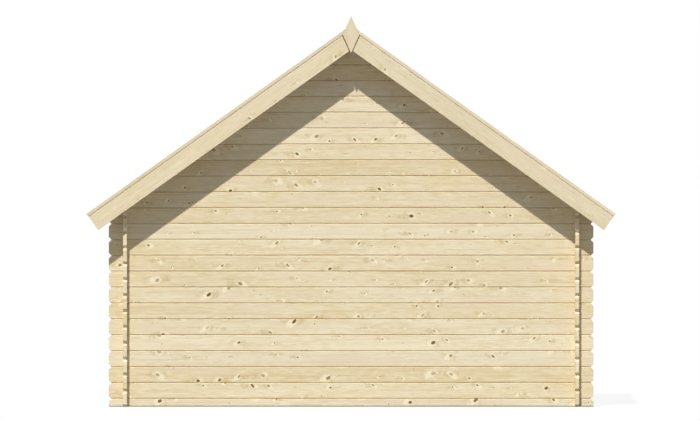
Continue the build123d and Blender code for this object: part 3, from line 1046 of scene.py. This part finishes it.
@dataclass
class LogWalls:
    """Log walls, their plates and the finish of each wall's courses."""

    nodes: Nodes
    course: float = 135.0 * MM
    first_bed: float = 67.5 * MM
    wall_axis: float = 1.918

    def dress(self) -> None:
        """Give each wall its own run of spruce logs."""
        axis = self.wall_axis
        half_log = self.first_bed - self.course
        left_front = ("front_sole_log", "front_wall_left", "front_gable")
        for run, grain, seed, plane, start, names in (
            ("rear", Grain.ACROSS, 17.0, -axis, half_log, ("rear_wall", "rear_gable")),
            ("front", Grain.ACROSS, 211.0, axis, half_log, left_front),
            ("front_side", Grain.ACROSS, 351.0, axis, half_log, ("front_wall_right",)),
            ("left", Grain.DEEP, 471.0, axis, 0.0, ("left_wall", "left_wall_plate")),
            ("right", Grain.DEEP, 593.0, -axis, 0.0, ("right_wall", "right_wall_plate")),
        ):
            finish = SpruceFinish(f"{run}_log_spruce", grain, seed, self.course, start, plane)
            for name in names:
                finish.dress(self.nodes[name])


@dataclass
class Roof:
    """Roof boards on the purlins, and the trim of the verges and eaves."""

    nodes: Nodes
    board_count: int = 46
    board_gap: float = 0.8 * MM
    board_overrun: float = 0.1
    # Darker than the walls' spruce: painted shade, so that the roof, which takes the most light, does not
    # wash out.
    board_pale: Colour = srgb(219, 206, 178)
    board_warm: Colour = srgb(208, 188, 147)
    under_bevel: float = 3.5 * MM
    top_bevel: float = 0.8 * MM
    thickness: float = 19.0 * MM
    ridge_gap: float = 0.15 * MM
    eased: float = 1.6 * MM
    trim_knots: float = 0.34
    trim_pale: Colour = srgb(235, 222, 189)
    trim_warm: Colour = srgb(226, 207, 164)
    trim_seed: float = 901.0
    seed_step: float = 13.0
    ridge_nail: float = 0.03
    board_nails: Pair = (-0.27, 0.27)
    barge_nail: float = 0.19
    barge_rows: Pair = (0.035, 0.105)
    barge_shift: float = 0.01
    lath_nails: int = 7
    lath_nail: float = 0.12
    lath_ends: float = 0.2
    lath_top: float = 25.3 * MM
    fascia_nails: int = 8
    fascia_ends: Pair = (0.3, 0.4)
    fascia_drop: float = 0.035
    fascia_face: float = 2.735
    nail_brush: Corner = (60.0, 60.0, 60.0)
    nail_steel: Colour = (0.42, 0.41, 0.39)

    def slope(self) -> Matrix:
        """Give the frame of the right slope: X down the slope, Z outward, the ridge at its origin."""
        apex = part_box("right_roof_deck")[1].z + self.ridge_gap * math.tan(ROOF_PITCH)
        return Matrix.Translation((0.0, 0.0, apex)) @ Matrix.Rotation(ROOF_PITCH, 4, "Y")

    def run(self, x: float) -> float:
        """Give the way down the slope to a place beside the ridge."""
        return x / SLOPE_COS

    def build(self) -> None:
        """Lay the boards of both slopes in place of the plain decks, and nail boards and trim."""
        low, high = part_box("right_roof_deck")
        pitch = (high.y - low.y) / self.board_count
        half = -self.thickness / 2
        board = Piece.block(
            "right_roof_boards",
            (-self.board_overrun, low.y + self.board_gap / 2, -self.thickness),
            (self.run(high.x), low.y + pitch - self.board_gap / 2, 0.0),
        )
        board.bevel(self.under_bevel, lambda a, b: runs(0, a, b) and max(a.z, b.z) < half)
        board.bevel(self.top_bevel, lambda a, b: runs(0, a, b) and min(a.z, b.z) > half)
        board.place(self.slope())
        board.cut((self.ridge_gap, 0.0, 0.0), (-1.0, 0.0, 0.0))
        board.row(self.board_count, (0.0, pitch, 0.0))
        other = board.copy("left_roof_boards", HALF_TURN)
        # Board colours darkened as painted shade for the strongly lit roof.
        tones = {"pale": self.board_pale, "warm": self.board_warm}
        for piece, grain, node, seed in (
            (board, Grain.RIGHT_SLOPE, "right_roof_deck", 701.0),
            (other, Grain.LEFT_SLOPE, "left_roof_deck", 823.0),
        ):
            start = low.y if grain.axes()[2].y > 0 else -high.y
            finish = SpruceFinish(piece.form.name + "_spruce", grain, seed, pitch, start, **tones)
            piece.hand_over(finish, "roof_boards", node)
        timbers = ("right_purlin", "right_wall_plate", "right_eaves_batten")
        supports = [(sum(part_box(name), Vector()) / 2).x for name in timbers]
        self.nail_boards(low.y + pitch / 2, pitch, [self.ridge_nail, *supports])
        self.nail_trim([self.barge_nail, *supports])

    def nail_boards(self, first: float, pitch: float, supports: list[float]) -> None:
        """Nail each board twice to each timber under it.

        Args:
            first: Middle of the first board along the ridge.
            pitch: Width of a board with its gap.
            supports: Places of the timbers beside the ridge.
        """
        fixings = Fixings()
        places = [
            self.slope() @ fixings.facing((self.run(x), first + share * pitch, 0.0), OUT_UP)
            for x in supports
            for share in self.board_nails
        ]
        nails = fixings.nail().spread(places, "right_roof_nails")
        nails.row(self.board_count, (0.0, pitch, 0.0))
        self.mirror(nails, "left_roof_nails")

    def nail_trim(self, supports: list[float]) -> None:
        """Nail the bargeboards, laths and fascias.

        Args:
            supports: Places of the bargeboards' nails beside the ridge.
        """
        fixings = Fixings()
        places = []
        for end in End:
            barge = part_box(end.node("right_bargeboard"))
            face = barge[1 if end is End.FRONT else 0].y
            for x in supports:
                for depth in self.barge_rows:
                    spot = (self.run(x) - self.barge_shift, face, -depth)
                    places.append(fixings.facing(spot, (0.0, end.value, 0.0)))
            low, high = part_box(end.node("right_verge_lath"))
            for index in range(self.lath_nails):
                way = index * (self.run(high.x) - self.lath_ends) / (self.lath_nails - 1)
                spot = (self.lath_nail + way, (low.y + high.y) / 2, self.lath_top)
                places.append(fixings.facing(spot, OUT_UP))
        low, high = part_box("right_eaves_fascia")
        before, ends = self.fascia_ends
        for index in range(self.fascia_nails):
            share = (index + before) / (self.fascia_nails - ends)
            spot = (self.fascia_face, low.y + share * (high.y - low.y), -self.fascia_drop)
            places.append(fixings.facing(spot, OUT_RIGHT))
        nails = fixings.nail().spread([self.slope() @ place for place in places], "right_trim_nails")
        self.mirror(nails, "left_trim_nails")

    def mirror(self, nails: Piece, name: str) -> None:
        """Dress the nails of the right slope and copy them to the left one.

        Args:
            nails: Nails of the right slope.
            name: Name of the copy.
        """
        other = nails.copy(name, HALF_TURN)
        steel = MetalFinish(nails.form.name + "_steel", self.nail_brush, self.nail_steel)
        for piece in (nails, other):
            piece.hand_over(steel, "door_metal")

    def dress(self) -> None:
        """Give the purlins, boards and laths of the roof their spruce and eased edges."""
        seed = self.trim_seed
        for side, edge in ((Side.LEFT, Grain.LEFT_EDGE), (Side.RIGHT, Grain.RIGHT_EDGE)):
            verge = [end.node(side.node(kind)) for end in End for kind in ("bargeboard", "verge_lath")]
            boards = [(name, edge, "trim_spruce") for name in verge]
            boards.append((side.node("eaves_fascia"), Grain.DEEP, "trim_spruce"))
            for kind in ("eaves_batten", "purlin"):
                boards.append((side.node(kind), Grain.DEEP, "purlin_spruce"))
            for name, grain, slot in boards:
                seed += self.seed_step
                self.single(name, grain, seed, slot, self.trim_knots)
        self.single("ridge_purlin", Grain.DEEP, 1201.0, "purlin_spruce", self.trim_knots)
        for end, seed in ((End.REAR, 1217.0), (End.FRONT, 1231.0)):
            self.single(end.node("finial"), Grain.UPRIGHT, seed, "trim_spruce", 0.0)

    def single(self, name: str, grain: Grain, seed: float, slot: str, knots: float) -> None:
        """Plane and dress one board.

        Args:
            name: Node of the board.
            grain: Direction of its grain.
            seed: Seed of its figure.
            slot: Name of a slot, handed on to hand_over, which does not use it.
            knots: Share of knots in it.
        """
        middle = sum(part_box(name), Vector()) / 2
        _, through, beside = grain.axes()
        finish = SpruceFinish(
            name + "_spruce",
            grain,
            seed,
            start=middle.dot(beside) - WHOLE_PIECE / 2,
            plane=middle.dot(through),
            knots=knots,
            pale=self.trim_pale,
            warm=self.trim_warm,
        )
        Piece.planed(self.nodes[name], self.eased).hand_over(finish, slot, name)


@dataclass
class Floor:
    """Floor boards on their bearers."""

    nodes: Nodes
    board_count: int = 42
    board_gap: float = 0.8 * MM
    top_bevel: float = 0.8 * MM
    bearer_warm: Colour = srgb(214, 192, 146)

    def build(self) -> None:
        """Lay the boards in place of the plain slab."""
        low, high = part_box("floor_boards")
        pitch = (high.x - low.x) / self.board_count
        board = Piece.block(
            "laid_floor_boards",
            (low.x + self.board_gap / 2, low.y, low.z),
            (low.x + pitch - self.board_gap / 2, high.y, high.z),
        )
        top = high.z - PICK_SLACK
        board.bevel(self.top_bevel, lambda a, b: runs(1, a, b) and min(a.z, b.z) > top)
        board.row(self.board_count, (pitch, 0.0, 0.0))
        start = low.x if Grain.DEEP_FLAT.axes()[2].x > 0 else -high.x
        finish = SpruceFinish("floor_board_spruce", Grain.DEEP_FLAT, 1301.0, pitch, start)
        board.hand_over(finish, "floor_spruce", "floor_boards")

    def dress(self) -> None:
        """Give the bearers their spruce."""
        finish = SpruceFinish("bearer_spruce", Grain.ACROSS, 1401.0, warm=self.bearer_warm)
        finish.dress(self.nodes["floor_bearers"])


@dataclass
class DoorLeaf:
    """One leaf of the doors: stiles and rails, panel boards, glazing bars and a weather bar."""

    side: Side
    seed: float
    rebate: float = 8.0 * MM
    eased: float = 1.5 * MM
    joint: float = 0.15 * MM
    panel_room: float = 0.3 * MM
    frame_knots: float = 0.15
    rail_seed: float = 9.0
    rail_course: float = 0.62
    board_count: int = 6
    board_bevel: float = 3.0 * MM
    board_seed: float = 20.0
    board_knots: float = 0.3
    bar_width: float = 22.0 * MM
    bar_bevel: float = 3.5 * MM
    bar_steps: int = 2
    bar_shares: Pair = (1 / 3, 2 / 3)
    bar_seed: float = 40.0
    bar_course: float = 0.1
    bead_width: float = 10.0 * MM
    setback: float = 4.0 * MM
    drip_height: float = 42.0 * MM
    drip_depth: float = 26.0 * MM
    drip_round: float = 19.0 * MM
    drip_steps: int = 3
    drip_foot: float = 9.0 * MM
    drip_inner: float = 30.0 * MM
    drip_outer: float = 12.0 * MM
    drip_seed: float = 60.0
    drip_course: float = 0.4
    drip_start: float = 0.1
    drip_knots: float = 0.1

    def node(self, kind: str) -> str:
        """Name a node or piece of this leaf."""
        return self.side.node("door_" + kind)

    def sight(self, kind: str) -> tuple[Vector, Vector]:
        """Give the corners of the part of the pane or panel that the leaf leaves open.

        Args:
            kind: Which of the two, glass or panel.

        Returns:
            Lowest and highest corner.
        """
        low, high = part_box(self.node(kind))
        edge = Vector((self.rebate, 0.0, self.rebate))
        return low + edge, high - edge

    def build(self) -> None:
        """Make the leaf and what is fixed to it."""
        for make in (self.frame, self.boards, self.glazing, self.drip_bar):
            make()

    def frame(self) -> None:
        """Join stiles and rails round the panel and the pane."""
        low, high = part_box(self.node("leaf"))
        panel_low, panel_high = self.sight("panel")
        pane_low, pane_high = self.sight("glass")
        stiles = [(low.x, low.z, panel_low.x, high.z), (panel_high.x, low.z, high.x, high.z)]
        left, right = panel_low.x + self.joint, panel_high.x - self.joint
        heights = ((low.z, panel_low.z), (panel_high.z, pane_low.z), (pane_high.z, high.z))
        rails = [(left, bottom, right, top) for bottom, top in heights]
        half = (high.x - low.x) / 2
        for kind, strips, *laid in (
            ("stile", stiles, Grain.UPRIGHT, self.seed, half, -high.x),
            ("rail", rails, Grain.ACROSS, self.seed + self.rail_seed, self.rail_course, low.z),
        ):
            blocks = [Piece.strip(strip, low.y, high.y) for strip in strips]
            for block in blocks:
                block.ease(self.eased)
            piece = Piece.join(blocks, self.node(kind + "s"))
            for filling in ("panel", "glass"):
                piece.carve(*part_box(self.node(filling)), self.panel_room)
            finish = SpruceFinish(self.side.node(kind + "_spruce"), *laid, knots=self.frame_knots)
            piece.hand_over(finish, "door_spruce", self.node("leaf"))

    def boards(self) -> None:
        """Fill the lower panel with upright V-jointed boards."""
        low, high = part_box(self.node("panel"))
        pitch = (high.x - low.x) / self.board_count
        end = (low.x + pitch - self.joint, high.y, high.z)
        board = Piece.block(self.node("boards"), tuple(low), end)
        board.bevel(self.board_bevel, lambda a, b: runs(2, a, b))
        board.row(self.board_count, (pitch, 0.0, 0.0))
        laid = (Grain.UPRIGHT, self.seed + self.board_seed, pitch, -high.x)
        finish = SpruceFinish(self.side.node("panel_spruce"), *laid, knots=self.board_knots)
        board.hand_over(finish, "door_spruce", self.node("panel"))

    def glazing(self) -> None:
        """Set beads and bars on both faces of the pane."""
        low, high = self.sight("glass")
        leaf_low, leaf_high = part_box(self.node("leaf"))
        left, right = low.x + self.bead_width, high.x - self.bead_width
        bottom, top = low.z + self.bead_width, high.z - self.bead_width
        middle = (low.x + high.x) / 2
        half = self.bar_width / 2
        strips = [
            (low.x, low.z, left, high.z),
            (right, low.z, high.x, high.z),
            (left, low.z, right, bottom),
            (left, top, right, high.z),
            (middle - half, bottom, middle + half, top),
        ]
        for share in self.bar_shares:
            height = low.z + share * (high.z - low.z)
            for start, end in ((left, middle - half), (middle + half, right)):
                strips.append((start, height - half, end, height + half))
        faces = ((high.y, leaf_high.y - self.setback), (low.y, leaf_low.y + self.setback))
        pieces = [self.bar(strip, glass, face) for glass, face in faces for strip in strips]
        laid = (Grain.UPRIGHT, self.seed + self.bar_seed, self.bar_course)
        finish = SpruceFinish(self.side.node("bar_spruce"), *laid, knots=0.0)
        Piece.join(pieces, self.node("glazing_bars")).hand_over(finish, "door_spruce")

    def bar(self, rectangle: Rectangle, glass: float, face: float) -> Piece:
        """Make one bar or bead, with the long edges of its face rounded.

        Args:
            rectangle: Left, bottom, right and top of the bar.
            glass: Place of the glass along Y.
            face: Place of the bar's face along Y.

        Returns:
            The bar.
        """
        left, bottom, right, top = rectangle
        axis = 2 if top - bottom > right - left else 0
        bar = Piece.strip(rectangle, *sorted((glass, face)))
        on_face: EdgeTest = lambda a, b: runs(axis, a, b) and abs(a.y - face) < PICK_SLACK
        bar.bevel(self.bar_bevel, on_face, self.bar_steps)
        return bar

    def drip_bar(self) -> None:
        """Fix a weather bar along the foot of the leaf."""
        low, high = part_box(self.node("leaf"))
        outer = max(abs(low.x), abs(high.x)) - self.drip_outer
        left, right = sorted((self.side.value * self.drip_inner, self.side.value * outer))
        foot = low.z + self.drip_foot
        head = foot + self.drip_height
        out = high.y + self.drip_depth
        bar = Piece.block(self.node("drip_bar"), (left, high.y, foot), (right, out, head))
        upper, nose = head - PICK_SLACK, out - PICK_SLACK
        on_nose: EdgeTest = lambda a, b: min(a.z, b.z) > upper and min(a.y, b.y) > nose
        bar.bevel(self.drip_round, on_nose, self.drip_steps)
        bar.ease(self.eased)
        laid = (Grain.ACROSS, self.seed + self.drip_seed, self.drip_course, foot - self.drip_start)
        finish = SpruceFinish(bar.form.name + "_spruce", *laid, knots=self.drip_knots)
        bar.hand_over(finish, "door_spruce")


@dataclass
class Doors:
    """Framed and glazed double doors in their frame, with hinges, lever handle and lock."""

    nodes: Nodes
    eased: float = DoorLeaf.eased
    frame_knots: float = DoorLeaf.frame_knots
    brush: Corner = (900.0, 900.0, 60.0)
    hinge_shares: tuple[float, ...] = (0.1, 0.5, 0.9)
    hinge_half: float = 32.0 * MM
    hinge_height: float = 90.0 * MM
    plate: float = 2.0 * MM
    plate_round: float = 4.0 * MM
    plate_steps: int = 3
    barrel: float = 7.0 * MM
    barrel_sides: int = 16
    barrel_round: float = 0.7 * MM
    knuckles: int = 3
    knuckle_gap: float = 0.6 * MM
    cap_radius: float = 4.5 * MM
    cap_height: float = 4.0 * MM
    cap_proud: float = 3.0 * MM
    screw_columns: Pair = (-20.0 * MM, 20.0 * MM)
    screw_rows: tuple[float, ...] = (-0.33, 0.0, 0.33)
    handle_eased: float = 1.2 * MM
    lock_middle: float = 19.0 * MM
    lock_face: float = 7.0 * MM
    lock_screws: Pair = (-88.0 * MM, 88.0 * MM)
    key_drop: float = 58.0 * MM
    key_sink: float = 1.0 * MM
    key_radius: float = 8.5 * MM
    key_height: float = 4.0 * MM
    key_sides: int = 20
    key_round: float = 0.8 * MM
    slot_rim: float = 2.5 * MM
    slot_depth: float = 2.0 * MM
    slot_shape: Corner = (0.3, 1.0, 1.0)

    def build(self) -> None:
        """Plane the door frame, make both leaves, and fit hinges, lock, handle and glass."""
        knots = self.frame_knots
        upright = SpruceFinish("door_frame_upright_spruce", Grain.UPRIGHT, 1501.0, knots=knots)
        across = SpruceFinish("door_frame_rail_spruce", Grain.ACROSS, 1523.0, knots=knots)
        for name, finish in (
            ("left_door_jamb", upright),
            ("right_door_jamb", upright),
            ("door_meeting_bead", upright),
            ("door_head", across),
            ("door_sill", across),
        ):
            Piece.planed(self.nodes[name], self.eased).hand_over(finish, "door_spruce", name)
        DoorLeaf(Side.LEFT, 1541.0).build()
        DoorLeaf(Side.RIGHT, 1607.0).build()
        steel = MetalFinish("fitting_steel", self.brush)
        self.hinges().hand_over(steel, "door_metal", "door_hinges")
        self.lock().hand_over(steel, "door_metal")
        handle = Piece.planed(self.nodes["door_handle"], self.handle_eased)
        handle.hand_over(steel, "door_metal", "door_handle")
        for side in Side:
            GlassFinish().dress(self.nodes[side.node("door_glass")])

    def hinge(self) -> Piece:
        """Make one butt hinge with its knuckles, pin caps and screws.

        Returns:
            The hinge, with the middle of its back at the origin.
        """
        half, end = self.hinge_half, self.hinge_height / 2
        plate = Piece.block("plate", (-half, 0.0, -end), (half, self.plate, end))
        plate.bevel(self.plate_round, lambda a, b: runs(1, a, b), self.plate_steps)
        parts = [plate]
        rise = self.hinge_height / self.knuckles
        feet = [index * rise + self.knuckle_gap / 2 - end for index in range(self.knuckles)]
        rolls = [(self.barrel, foot, rise - self.knuckle_gap) for foot in feet]
        for foot in (-end - self.cap_proud, end + self.cap_proud - self.cap_height):
            rolls.append((self.cap_radius, foot, self.cap_height))
        for radius, foot, height in rolls:
            roll = Piece.disc("knuckle", radius, height, self.barrel_sides)
            roll.ease(self.barrel_round, 1)
            roll.place(Matrix.Translation((0.0, self.barrel, foot)))
            parts.append(roll)
        fixings = Fixings()
        spots = [
            fixings.facing((x, self.plate, share * self.hinge_height), OUT_FRONT)
            for x in self.screw_columns
            for share in self.screw_rows
        ]
        return Piece.join([*parts, fixings.screw().spread(spots, "screws")], "hinge")

    def hinges(self) -> Piece:
        """Set three hinges on each leaf.

        Returns:
            All hinges as one piece.
        """
        low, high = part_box("door_hinges")
        leaf_low, leaf_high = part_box("right_door_leaf")
        pin = high.x - self.hinge_half
        places = [
            Matrix.Translation((x, low.y, leaf_low.z + share * (leaf_high.z - leaf_low.z)))
            for x in (-pin, pin)
            for share in self.hinge_shares
        ]
        return self.hinge().spread(places, "door_hinge_set")

    def lock(self) -> Piece:
        """Make the key cylinder and the screws of the handle plate.

        Returns:
            Cylinder and screws as one piece.
        """
        low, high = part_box("door_handle")
        middle = Vector((low.x + self.lock_middle, low.y + self.lock_face, (low.z + high.z) / 2))
        fixings = Fixings()
        heads = [middle + Vector((0.0, 0.0, rise)) for rise in self.lock_screws]
        screws = fixings.screw().spread([fixings.facing(head, OUT_FRONT) for head in heads], "screws")
        sizes = (self.key_radius, self.key_height, self.key_sides, self.key_round)
        cylinder = Piece.stud("key_cylinder", *sizes)
        cylinder.recess(self.slot_rim, self.slot_depth, self.slot_shape)
        foot = middle - Vector((0.0, self.key_sink, self.key_drop))
        cylinder.place(Matrix.Translation(foot) @ Matrix.Rotation(-math.pi / 2, 4, "X"))
        return Piece.join([screws, cylinder], "door_lock_fittings")


@dataclass
class Studio:
    """Camera, lights, pale floor and white surroundings."""

    millimetres_per_pixel: float = 8.488
    picture: tuple[int, int] = (700, 421)
    middle_column: float = 351.1
    ground_row: float = 406.75
    lens: float = 900.0
    sight_end: float = 400.0
    face: float = -1.935
    eye_height: float = 3.05
    sun_course: Corner = (0.178, 1.0, -1.228)
    sun_power: float = 3.3
    sun_angle: float = 1.2
    side_course: Corner = (-0.85, -0.5, -0.1)
    side_fill: float = 0.72
    front_course: Corner = (0.0, -1.0, -0.08)
    front_fill: float = 1.0
    fill_angle: float = 30.0
    sky: float = 0.265
    sky_colour: Colour = (0.86, 0.95, 1.1)
    floor_size: float = 600.0
    floor_bounce: Colour = (0.34, 0.34, 0.34)
    floor_shade: Colour = (0.9, 0.9, 0.9)
    floor_glow: float = 0.9

    def camera(self) -> None:
        """Stand the camera square to the blank gable, far off with a long lens."""
        step = self.millimetres_per_pixel * MM
        width, height = self.picture
        bpy.ops.object.camera_add()
        camera = bpy.context.object
        camera.name = "picture_camera"
        camera.data.lens = self.lens
        camera.data.sensor_fit = "HORIZONTAL"
        camera.data.clip_end = self.sight_end
        distance = width * step * self.lens / camera.data.sensor_width
        column = (width / 2 - self.middle_column) * step
        aim = Vector((column, self.face, (self.ground_row - height / 2) * step))
        rise = self.eye_height - aim.z
        camera.location = aim + Vector((0.0, -math.sqrt(distance**2 - rise**2), rise))
        camera.rotation_euler = (aim - camera.location).to_track_quat("-Z", "Y").to_euler()
        bpy.context.scene.camera = camera

    def lamps(self) -> None:
        """Set the sun, a fill on each side and one towards the entrance, all far away."""
        across, back, down = self.side_course
        for name, course, power, angle in (
            ("key_lamp", self.sun_course, self.sun_power, self.sun_angle),
            ("right_fill_lamp", self.side_course, self.side_fill, self.fill_angle),
            ("left_fill_lamp", (-across, back, down), self.side_fill, self.fill_angle),
            ("front_fill_lamp", self.front_course, self.front_fill, self.fill_angle),
        ):
            bpy.ops.object.light_add(type="SUN")
            lamp = bpy.context.object
            lamp.name = name
            lamp.rotation_euler = Vector(course).to_track_quat("-Z", "Y").to_euler()
            lamp.data.energy = power
            lamp.data.angle = math.radians(angle)

    def shown(self, board: NodeBoard, soft: bpy.types.Node, seen: bpy.types.Node) -> Socket:
        """Choose one shader for soft light and another for what is seen, mirrored or behind glass.

        Args:
            board: Board of the material or world.
            soft: Shader that lights the object.
            seen: Shader that the camera, reflections and glass show.

        Returns:
            The socket of the shader.
        """
        path = board.add("LightPath").outputs
        mirrored = board.sum("MAXIMUM", path["Is Glossy Ray"], path["Is Transmission Ray"])
        share = board.sum("MAXIMUM", path["Is Camera Ray"], mirrored)
        return board.add("MixShader", {0: share, 1: soft.outputs[0], 2: seen.outputs[0]}).outputs[0]

    def surroundings(self) -> None:
        """Surround the object with white that lights it only softly."""
        world = bpy.data.worlds.new("white_studio")
        board = NodeBoard.blank(world)
        soft = board.add("Background", {"Color": self.sky_colour, "Strength": self.sky})
        white = board.add("Background", {"Color": WHITE, "Strength": 1.0})
        board.add("OutputWorld", {"Surface": self.shown(board, soft, white)})
        bpy.context.scene.world = world

    def floor(self) -> None:
        """Lay a pale floor that keeps a light shadow."""
        clear_bench()
        bpy.ops.mesh.primitive_plane_add(size=self.floor_size)
        ground = bpy.context.object
        ground.name = "studio_floor"
        made = bpy.data.materials.new("pale_floor")
        board = NodeBoard.blank(made)
        dull = board.add("BsdfDiffuse", {"Color": self.floor_bounce})
        shade = board.add("BsdfDiffuse", {"Color": self.floor_shade})
        glow = board.add("Emission", {"Color": WHITE, "Strength": 1.0})
        pale = board.add("MixShader", {0: self.floor_glow, 1: shade.outputs[0], 2: glow.outputs[0]})
        board.add("OutputMaterial", {"Surface": self.shown(board, dull, pale)})
        ground.data.materials.append(made)

    def build(self) -> None:
        """Set up camera, lamps, surroundings and floor."""
        clear_bench()
        self.camera()
        self.lamps()
        self.surroundings()
        self.floor()
        bpy.context.scene.view_settings.view_transform = "Standard"


def main() -> None:
    """Load the frame, dress and build each sub-assembly, and set up the studio."""
    logging.basicConfig(level=logging.INFO, format="%(name)s: %(message)s")
    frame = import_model()
    nodes = frame["nodes"]
    LogWalls(nodes).dress()
    for part in (Roof(nodes), Floor(nodes)):
        part.dress()
        part.build()
    Doors(nodes).build()
    Studio().build()
    clear_bench()


if __name__ == "__main__":
    main()
